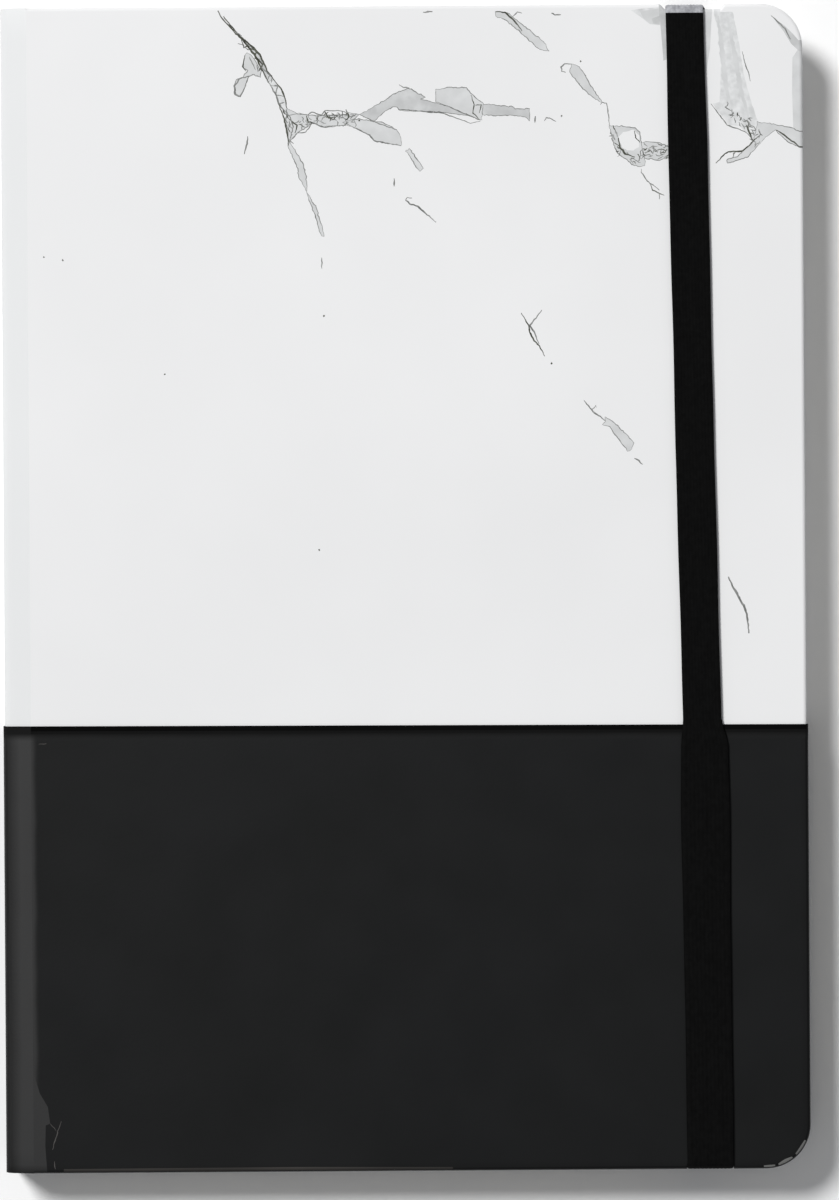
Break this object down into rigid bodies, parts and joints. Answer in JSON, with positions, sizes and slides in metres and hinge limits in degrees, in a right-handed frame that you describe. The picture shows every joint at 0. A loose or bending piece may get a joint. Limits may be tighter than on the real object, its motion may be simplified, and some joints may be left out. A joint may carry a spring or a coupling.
{
  "type": "notebook",
  "caption": "Hardcover notebook with marble and black coverings, sewn pages, covers that open at the spine and an elastic band over the fore-edge.",
  "frame": {"origin": "under the middle of the closed notebook, on the surface that it lies on", "axes": "+X from the spine to the fore-edge, +Y from the tail to the head, +Z out of the front cover"},
  "size_m": [0.145, 0.2097, 0.0158],
  "materials": {
    "marble_covering": "satin coated paper with a marble print",
    "black_covering": "satin black leather-like coating with a fine grain",
    "grey_board": "raw",
    "spine_card": "raw",
    "endpaper": "matte",
    "pages": "matte",
    "lining_cloth": "woven",
    "elastic": "woven"
  },
  "bodies": {
    "pages": {"page_block": "pages", "front_flyleaf": "endpaper", "back_flyleaf": "endpaper", "spine_lining": "lining_cloth", "spine_card": "spine_card", "spine_marble_covering": "marble_covering", "spine_black_covering": "black_covering", "front_marble_joint": "marble_covering", "front_black_joint": "black_covering", "back_marble_joint": "marble_covering", "back_black_joint": "black_covering", "front_endpaper_fold": "endpaper", "back_endpaper_fold": "endpaper"},
    "front_cover": {"front_board": "grey_board", "front_marble_covering": "marble_covering", "front_black_covering": "black_covering", "front_pastedown": "endpaper"},
    "back_cover": {"back_board": "grey_board", "back_marble_covering": "marble_covering", "back_black_covering": "black_covering", "back_pastedown": "endpaper", "elastic_band": "elastic"}
  },
  "joints": [
    {"name": "front_cover_hinge", "type": "hinge", "parent": "pages", "child": "front_cover", "pos_m": [-0.0701, 0, 0.0138], "axis": [0, -1, 0], "range_deg": [0, 179], "deforming": ["front_marble_joint", "front_black_joint", "elastic_band", "front_endpaper_fold"]},
    {"name": "back_cover_hinge", "type": "hinge", "parent": "pages", "child": "back_cover", "pos_m": [-0.0701, 0, 0.0012], "axis": [0, 1, 0], "range_deg": [0, 179], "deforming": ["back_marble_joint", "back_black_joint", "back_endpaper_fold"]}
  ]
}
